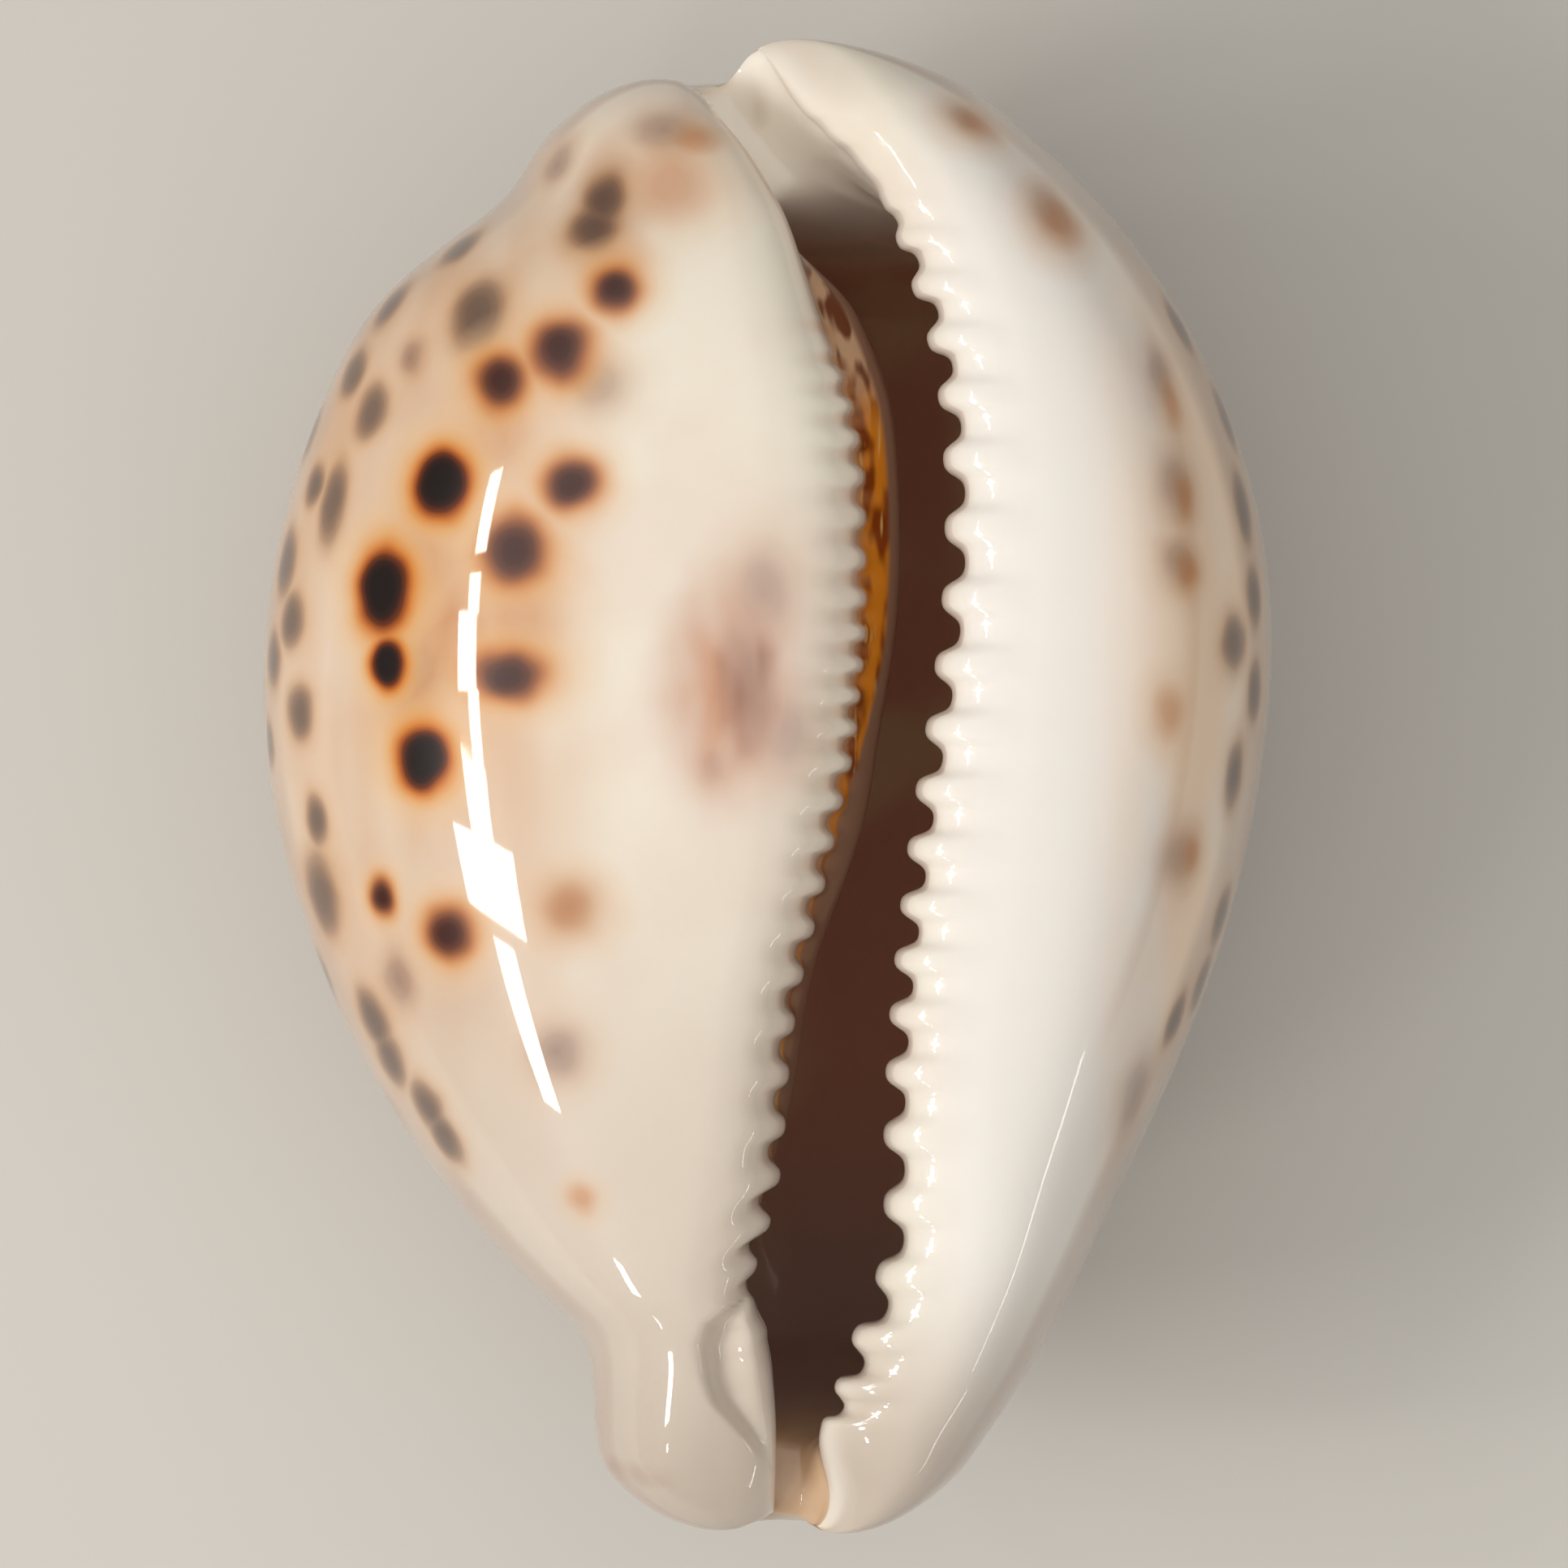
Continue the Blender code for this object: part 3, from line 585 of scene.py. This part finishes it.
GREY_STOPS = (
    (0.0, tint(84, 62, 52), 0.9), (0.35, tint(92, 66, 52), 0.88), (0.6, tint(112, 78, 56), 0.82),
    (0.8, tint(146, 102, 66), 0.7), (1.0, tint(186, 138, 92), 0.5),
    (1.25, tint(210, 166, 122), 0.3), (1.6, tint(222, 186, 148), 0.13),
    (2.2, tint(230, 200, 168), 0.0),
)
VEILED_STOPS = (
    (0.0, tint(126, 90, 76), 0.72), (0.5, tint(150, 108, 86), 0.6),
    (0.9, tint(190, 146, 112), 0.38), (1.4, tint(216, 178, 144), 0.16),
    (2.1, tint(226, 196, 166), 0.0),
)
TAN_STOPS = (
    (0.0, tint(198, 126, 60), 0.62), (0.35, tint(200, 130, 66), 0.6),
    (0.7, tint(208, 146, 84), 0.46), (1.2, tint(224, 178, 130), 0.22),
    (2.1, tint(232, 198, 162), 0.0),
)


DORSUM_GREY = tint(218, 211, 204)
BASE_SPOTS = (
    (VEILED_SPOTS, VEILED_STOPS), (TAN_SPOTS, TAN_STOPS), (GREY_SPOTS, GREY_STOPS),
    (MAROON_SPOTS, MAROON_STOPS), (DARK_SPOTS, DARK_STOPS),
)
# The dorsum's spots: millimetres from spot to spot, radius as a share of that, stops
DORSUM_SPOTS = ((8.0, 0.36, GREY_STOPS), (6.2, 0.27, DARK_STOPS))
UPWARD = 0.03  # the least upward part of a normal on the upper side
NEAREST_SQUARED = 0.05  # keeps the weights finite, in square millimetres
SPOT_ROUNDING = 0.25  # radii
SPOT_WOBBLE = 0.8  # how far clouds bend the outlines, in millimetres
BLOTCH_WOBBLE = 1.4
MANTLE_X = 5  # of the mantle's line
# Ellipsoids of colour: middle, and radii along x, y and z
BLOTCH_HAZE = ((-1.4, 5.2, 44), (5.6, 8.6, 12))
BLOTCH = ((-2.3, 5.4, 44), (4.2, 7.4, 12))
BLOTCH_CORE = ((-1.1, 5.4, 44), (1.9, 4.6, 12))
# Brown marks at the tips: the one in the posterior canal is a stain, the three at the front tip are
# painted shade
SMEARS_AND_SHADE = (
    ((1.4, -37.6, 33), (1.9, 2.6, 5)), ((-0.9, 38.0, 36), (1.4, 2.0, 5)),
    ((-7.4, -38.6, 32), (3.2, 1.0, 8)), ((-10.4, -36.6, 31), (1.0, 2.0, 8)),
)


class Socket:
    """A node's output. Sums, differences, products and quotients of these add Math nodes."""

    def __init__(self, finish, link):
        self.finish = finish
        self.link = link

    def math(self, operation, first, second):
        return self.finish.node("ShaderNodeMath", {"operation": operation}, {0: first, 1: second})

    def __add__(self, other):
        return self.math("ADD", self, other)

    def __sub__(self, other):
        return self.math("SUBTRACT", self, other)

    def __rsub__(self, other):
        return self.math("SUBTRACT", other, self)

    def __mul__(self, other):
        return self.math("MULTIPLY", self, other)

    def __truediv__(self, other):
        return self.math("DIVIDE", self, other)

    __radd__ = __add__
    __rmul__ = __mul__

    def size(self):
        return self.math("ABSOLUTE", self, 0.0)

    def rise(self, start, end):
        """From 0 at start to 1 at end, smoothly. It falls where start is the greater."""
        low, high = sorted((start, end))
        risen = self.finish.node(
            "ShaderNodeMapRange",
            {"interpolation_type": "SMOOTHSTEP"},
            {"Value": self, "From Min": low, "From Max": high},
        )
        return risen if start < end else 1 - risen


class Finish:
    """The nodes of a material or a world, which end in one shader."""

    def __init__(self, owner, shader):
        owner.use_nodes = True
        self.owner = owner
        self.tree = owner.node_tree
        self.shader = self.tree.nodes[shader]

    def node(self, kind, settings, sockets, output=0):
        """Adds a node: its settings first, then each socket's value or link. Gives one output."""
        made = self.tree.nodes.new(kind)
        for name, setting in settings.items():
            if name == "stops":
                self.set_stops(made.color_ramp.elements, setting)
            else:
                setattr(made, name, setting)
        for name, value in sockets.items():
            if isinstance(value, Socket):
                self.tree.links.new(value.link, made.inputs[name])
            else:
                made.inputs[name].default_value = value
        return Socket(self, made.outputs[output])

    def set_stops(self, elements, stops):
        """The ramp's stops: place, and colour with its cover as the fourth number."""
        while len(elements) < len(stops):
            elements.new(1.0)
        for element, (place, colour) in zip(elements, stops):
            element.position = place
            element.color = colour

    def shader_takes(self, **values):
        """Sets or links the shader's own sockets, named with underscores for spaces."""
        for name, value in values.items():
            target = self.shader.inputs[name.replace("_", " ").title().replace("Ior", "IOR")]
            if isinstance(value, Socket):
                self.tree.links.new(value.link, target)
            else:
                target.default_value = value

    def vector(self, operation, first, second=(0, 0, 0), third=(0, 0, 0), output=0):
        settings = {"operation": operation}
        return self.node("ShaderNodeVectorMath", settings, {0: first, 1: second, 2: third}, output)

    def place(self):
        """The place on the shell in millimetres."""
        found = self.node("ShaderNodeTexCoord", {}, {}, "Object")
        return self.vector("MULTIPLY", found, (1 / MM,) * 3)

    def parts(self, vector):
        return [self.node("ShaderNodeSeparateXYZ", {}, {0: vector}, axis) for axis in "XYZ"]

    def attribute(self, name):
        return self.node("ShaderNodeAttribute", {"attribute_name": name}, {}, "Fac")

    def cloud(self, place, size, detail=2.0, output=0, roughness=0.5):
        """Noise whose lumps are about the given size, or sizes along x, y and z."""
        sizes = np.broadcast_to(size, 3)
        scaled = self.vector("MULTIPLY", place, tuple(float(1 / each) for each in sizes))
        sockets = {"Vector": scaled, "Scale": 1.0, "Detail": detail, "Roughness": roughness}
        return self.node("ShaderNodeTexNoise", {}, sockets, output)

    def blend(self, under, over, share):
        """One colour over another."""
        sockets = {0: share, 6: under, 7: over}
        return self.node("ShaderNodeMix", {"data_type": "RGBA"}, sockets, 2)

    def marked(self, under, distance, stops, strength=1.0):
        """Colour and cover by the distance from a mark's middle, in radii, over another colour."""
        shares = [(place / REACH, (*colour[:3], cover)) for place, colour, cover in stops]
        sockets = {"Fac": distance / REACH}
        colour = self.node("ShaderNodeValToRGB", {"stops": shares}, sockets)
        cover = Socket(self, colour.link.node.outputs["Alpha"])
        return self.blend(under, colour, cover * strength)

    def nearest(self, place, spots):
        """The distance to the nearest of the spots, in radii, rounded where two are as near."""
        nearest = None
        for middle, radii in spots:
            scale, shift = [tuple(each.tolist()) for each in (1 / radii, -middle / radii)]
            offset = self.vector("MULTIPLY_ADD", place, scale, shift)
            distance = self.vector("LENGTH", offset, output="Value")
            if nearest is None:
                nearest = distance
            else:
                sockets = {0: nearest, 1: distance, 2: SPOT_ROUNDING}
                nearest = self.node("ShaderNodeMath", {"operation": "SMOOTH_MIN"}, sockets)
        return nearest


def on_shell(ring, spots):
    """The spots' middles on the upper side of the shell, and their radii along x, y and z. A
    middle's height is the mean of those about it, where the near ones count far more."""
    outside = slice(2**ROUNDINGS * sum(SECTION_POINTS) + 1)
    top = ring[:, outside][normals(ring)[:, outside, 2] > UPWARD] / MM
    spots = np.array(spots)
    away = np.square(top[:, None, :2] - spots[None, :, :2]).sum(2)
    weight = 1 / (away + NEAREST_SQUARED) ** 3
    height = (top[:, 2:] * weight).sum(0) / weight.sum(0)
    radii = spots[:, 2:3] * np.stack([np.ones(len(spots)), spots[:, 3], np.ones(len(spots))], 1)
    return list(zip(np.column_stack([spots[:, :2], height]), radii))


def ground_colour(glaze, place, side):
    """Cream, warmer in patches, tan on the left side, lilac grey towards the dorsum. Painted shade
    makes it darker towards the front and grey-brown on the steep upper sides, and painted light
    makes the right side paler. The ranges along x, y and z are millimetres."""
    x, y, z = glaze.parts(place)
    patches = glaze.cloud(place, 9, 2).rise(0.4, 0.66)
    streaks = glaze.cloud(place, (4.0, 14, 6), 1)
    colour = glaze.blend(tint(240, 232, 216), tint(235, 220, 205), patches * 0.7)
    colour = glaze.blend(colour, tint(246, 242, 236), x.rise(5, 12) * z.rise(34, 41) * 0.9)

    left = x.rise(-6, -17) * y.rise(-28, -10) * (streaks.rise(0.1, 0.7) * 0.6 + 0.4)
    colour = glaze.blend(colour, tint(214, 176, 142), left)
    # Painted shade: greyer and darker towards the front, first on the left, then across the whole
    # front tip, where the light falls off
    painted_front_shade = y.rise(4, -24) * x.rise(8, 0)
    colour = glaze.blend(colour, tint(212, 198, 184), painted_front_shade * 0.8)
    colour = glaze.blend(colour, tint(196, 182, 168), y.rise(-24, -40) * 0.8)
    # Peach tan along the right side: partly the margin's own tan, partly painted light, made paler
    # to make up for the shade on that side
    right = x.rise(16, 25) * y.rise(-24, -12) * streaks.rise(0.1, 0.6)
    colour = glaze.blend(colour, tint(255, 222, 188), right * 0.85)
    # Grey-brown on the steep upper sides, set by their steepness: painted shade and painted dark
    # reflection over some of the margins' own grey
    painted_side_shade = side.rise(0.72, 1.0) * z.rise(24, 32) * (streaks * 0.6 + 0.3)
    colour = glaze.blend(colour, tint(190, 164, 148), painted_side_shade)

    # The glaze's edge along the right margin: a thin shade, then a paler band
    bend = y - CALLUS_MIDDLE[1]
    past_edge = x + bend * bend * CALLUS_BEND - CALLUS_MIDDLE[0]
    along = y.rise(-18, -8) * y.rise(30, 22) * z.rise(20, 26)
    shade = past_edge.rise(-1.2, -0.1) * past_edge.rise(0.3, -0.1) * along
    colour = glaze.blend(colour, tint(206, 164, 124), shade * 0.25)
    band = past_edge.rise(-0.1, 0.3) * past_edge.rise(2.5, 0.6) * along
    colour = glaze.blend(colour, tint(238, 212, 188), band * 0.4)

    return glaze.blend(colour, DORSUM_GREY, z.rise(31, 18) * 0.85)


def spots_colour(glaze, colour, place, ring, visible):
    """The spots sunk in the glaze: those of the base and the sides, then the dorsum's, each of
    which shows whole or not at all by the height of its middle."""
    for spots, stops in BASE_SPOTS:
        distance = glaze.nearest(place, on_shell(ring, spots))
        colour = glaze.marked(colour, distance, stops, visible)
    on_dorsum = glaze.parts(place)[2].rise(33, 30) * visible
    for size, radius, stops in DORSUM_SPOTS:
        cells = glaze.vector("MULTIPLY_ADD", place, (1 / size,) * 3, (size, 0, 0))
        sockets = {"Vector": cells, "Scale": 1.0, "Randomness": 0.85}
        distance = glaze.node("ShaderNodeTexVoronoi", {}, sockets, "Distance")
        middle = Socket(glaze, distance.link.node.outputs["Position"])
        shown = (glaze.parts(middle)[2] * size).rise(29.5, 27) * on_dorsum
        colour = glaze.marked(colour, distance / radius, stops, shown)
    return colour


def near(glaze, place, middle, radii):
    """1 at the middle of an ellipsoid, fading to 0 a little beyond its surface."""
    return glaze.nearest(place, [(np.array(middle), np.array(radii))]).rise(1.2, 0.1)


def inside_colour(glaze, place):
    """The inside: the inner whorl's orange band with its thin grey rim, then lilac brown."""
    fold = glaze.attribute("fold")
    y = glaze.parts(place)[1]
    patches = glaze.cloud(place, 9, 0).rise(0.4, 0.6)
    brown = glaze.blend(tint(240, 206, 166), tint(228, 170, 144), patches)
    brown = glaze.blend(brown, tint(188, 160, 146), y.rise(-14, -32))

    bars = glaze.cloud(place, (1.1, 3.4, 2.0), 1).rise(0.42, 0.62)
    orange = glaze.blend(tint(226, 140, 36), tint(140, 66, 18), bars)
    glints = glaze.cloud(place, (0.5, 5.0, 1.6), 1).rise(0.58, 0.7)
    orange = glaze.blend(orange, tint(240, 200, 128), glints * 0.8)
    blots = glaze.cloud(place, (1.0, 4.0, 1.4), 1).rise(0.45, 0.62)
    pale = glaze.blend(tint(216, 180, 146), tint(120, 70, 48), blots)
    orange = glaze.blend(orange, pale, y.rise(19, 24))

    colour = glaze.blend(tint(232, 204, 168), orange, fold.rise(0.6, 1.5))
    rim = (fold + y.rise(8, -6) * 1.3).rise(2.6, 2.95)
    colour = glaze.blend(colour, tint(150, 116, 96), rim)
    return glaze.blend(colour, brown, fold.rise(4.2, 5.5))


def glaze_finish(ring):
    """The shell's glaze: cream ground, spots sunk in it, brown inside and an orange inner whorl."""
    glaze = Finish(bpy.data.materials.new("spotted glaze"), "Principled BSDF")
    place = glaze.place()
    x, y, z = glaze.parts(place)
    inside, side = glaze.attribute("inside"), glaze.attribute("side")
    visible = 1 - inside
    wobble = glaze.vector("SUBTRACT", glaze.cloud(place, 3.2, 1, "Color"), (0.5,) * 3)
    warped = glaze.vector("MULTIPLY_ADD", wobble, (SPOT_WOBBLE,) * 3, place)
    colour = ground_colour(glaze, place, side)
    colour = spots_colour(glaze, colour, warped, ring, visible)

    # The mantle's line along the dorsum
    from_line = x + (glaze.cloud(place, 14, 1) - 0.5) * 10 - MANTLE_X
    mantle = from_line.size().rise(1.3, 0.2) * z.rise(12, 8) * visible
    colour = glaze.blend(colour, tint(214, 176, 130), mantle * 0.7)

    # The blotch beside the inner lip
    hazy = glaze.vector("MULTIPLY_ADD", wobble, (BLOTCH_WOBBLE,) * 3, place)
    cloudy = glaze.cloud(place, (2.4, 6.0, 3.0), 1)
    colour = glaze.blend(colour, tint(216, 190, 178), near(glaze, hazy, *BLOTCH_HAZE) * 0.75)
    pink = near(glaze, hazy, *BLOTCH) * (cloudy.rise(0.3, 0.6) * 0.4 + 0.6)
    colour = glaze.blend(colour, tint(204, 148, 112), pink * 0.9)
    core = near(glaze, hazy, *BLOTCH_CORE) * (cloudy.rise(0.35, 0.6) * 0.4 + 0.6)
    colour = glaze.blend(colour, tint(118, 68, 58), core * 0.85)

    # Lips with tinted gaps, canals and the inside
    colour = glaze.blend(colour, tint(247, 240, 229), glaze.attribute("lip") * 0.7)
    colour = glaze.blend(colour, inside_colour(glaze, place), inside)
    # Warm brown in the hollows between the inner lip's teeth, towards the back: partly the whorl's
    # orange between them, partly painted shade
    gap = glaze.attribute("gap") * y.rise(-20, -4)
    colour = glaze.blend(colour, tint(206, 150, 104), gap * 0.4)
    # The canals' floor: its cream, made near white towards the back and tan towards the front,
    # painted light and painted shade
    canal = glaze.blend(tint(206, 174, 142), tint(255, 248, 236), y.rise(-10, 10))
    colour = glaze.blend(colour, canal, glaze.attribute("canal"))
    # Brown over the tips: a stain at the back, painted shade at the front
    for brown_mark in SMEARS_AND_SHADE:
        cover = near(glaze, hazy, *brown_mark) * cloudy.rise(0.2, 0.6)
        colour = glaze.blend(colour, tint(160, 122, 92), cover * 0.6)

    worn = x.rise(3, 7) * x.rise(13, 10) * y.rise(-22, -16)  # the outer lip, which shines less
    glaze.shader_takes(
        base_color=colour,
        roughness=0.32,
        specular_ior_level=0.15,
        coat_weight=1 - worn * 0.45,
        coat_roughness=0.03,
        subsurface_weight=0.25,
        subsurface_radius=(1.0, 0.55, 0.3),
        subsurface_scale=1.2 * MM,
    )
    glaze.shader.subsurface_method = "BURLEY"
    return glaze.owner


angle = row_angles()
ring = shell_rings(angle)
mesh = closed_mesh("cowrie", ring, zones(angle, ring))
shell = added("cowrie", mesh)
mesh.materials.append(glaze_finish(ring))
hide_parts("shell")
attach(shell, "root")

CAMERA_X = 0.9 * MM
CAMERA_HEIGHT = 0.528
camera_data = bpy.data.cameras.new("camera")
camera_data.sensor_width = 36
camera_data.lens = 36 * 0.5 / 0.0892
camera = added("camera", camera_data)
camera.location = (CAMERA_X, 0, CAMERA_HEIGHT)
bpy.context.scene.camera = camera

floor = bpy.data.meshes.new("floor")
floor.from_pydata([(-2, -2, 0), (2, -2, 0), (2, 2, 0), (-2, 2, 0)], [], [(0, 1, 2, 3)])
floor_finish = Finish(bpy.data.materials.new("floor"), "Principled BSDF")
floor_finish.shader_takes(base_color=tint(205, 203, 198), roughness=0.6)
floor.materials.append(floor_finish.owner)
added("floor", floor)


def lamp(name, place, size, watts, colour=(1, 1, 1)):
    """A rectangular lamp beside the shell, which faces the shell's long axis. Its size is its
    length along y and its width. All lengths are in metres."""
    light = bpy.data.lights.new(name, "AREA")
    light.shape = "RECTANGLE"
    light.size, light.size_y = size
    light.energy = watts
    light.color = colour
    obj = added(name, light)
    obj.location = place
    facing = Vector((0, place[1], LAMP_AIM_Z)) - Vector(place)
    obj.rotation_euler = facing.to_track_quat("-Z", "Y").to_euler()


WARM_LIGHT = (1.0, 0.96, 0.91)
WALL_GLOW = 0.22  # the room's own light from its walls, and from its ceiling
CEILING_GLOW = 1.07
PANE_HEIGHT = 0.50
PANE_WATTS = 80  # for each square metre
LAMP_AIM_Z = 0.03  # the height that every lamp faces
# Panes of a window: x and y of the middle, length along y, width
PANES = (
    (-0.45, 0.12, 0.07, 0.03), (-0.46, 0.05, 0.03, 0.03), (-0.485, 0.016, 0.042, 0.055),
    (-0.46, -0.018, 0.03, 0.03), (-0.48, -0.052, 0.042, 0.07), (-0.48, -0.097, 0.045, 0.19),
    (-0.47, -0.2, 0.14, 0.07), (-0.42, -0.46, 0.13, 0.06), (-0.40, -0.66, 0.06, 0.03),
)
for across, along, length, width in PANES:
    watts = PANE_WATTS * length * width
    lamp("window pane", (across, along, PANE_HEIGHT), (length, width), watts, WARM_LIGHT)
lamp("back light", (0.55, -0.42, 0.31), (0.36, 0.024), 0.18)
lamp("low back light", (0.55, -0.84, 0.19), (0.44, 0.024), 0.3)

room = Finish(bpy.data.worlds.new("room"), "Background")
up = room.parts(room.node("ShaderNodeTexCoord", {}, {}, "Generated"))[2]
glow = up.rise(0.5, 1.0) * (CEILING_GLOW - WALL_GLOW) + WALL_GLOW
room.shader_takes(color=(1.0, 0.965, 0.92, 1.0), strength=glow)
bpy.context.scene.world = room.owner
bpy.context.scene.view_settings.view_transform = "Standard"
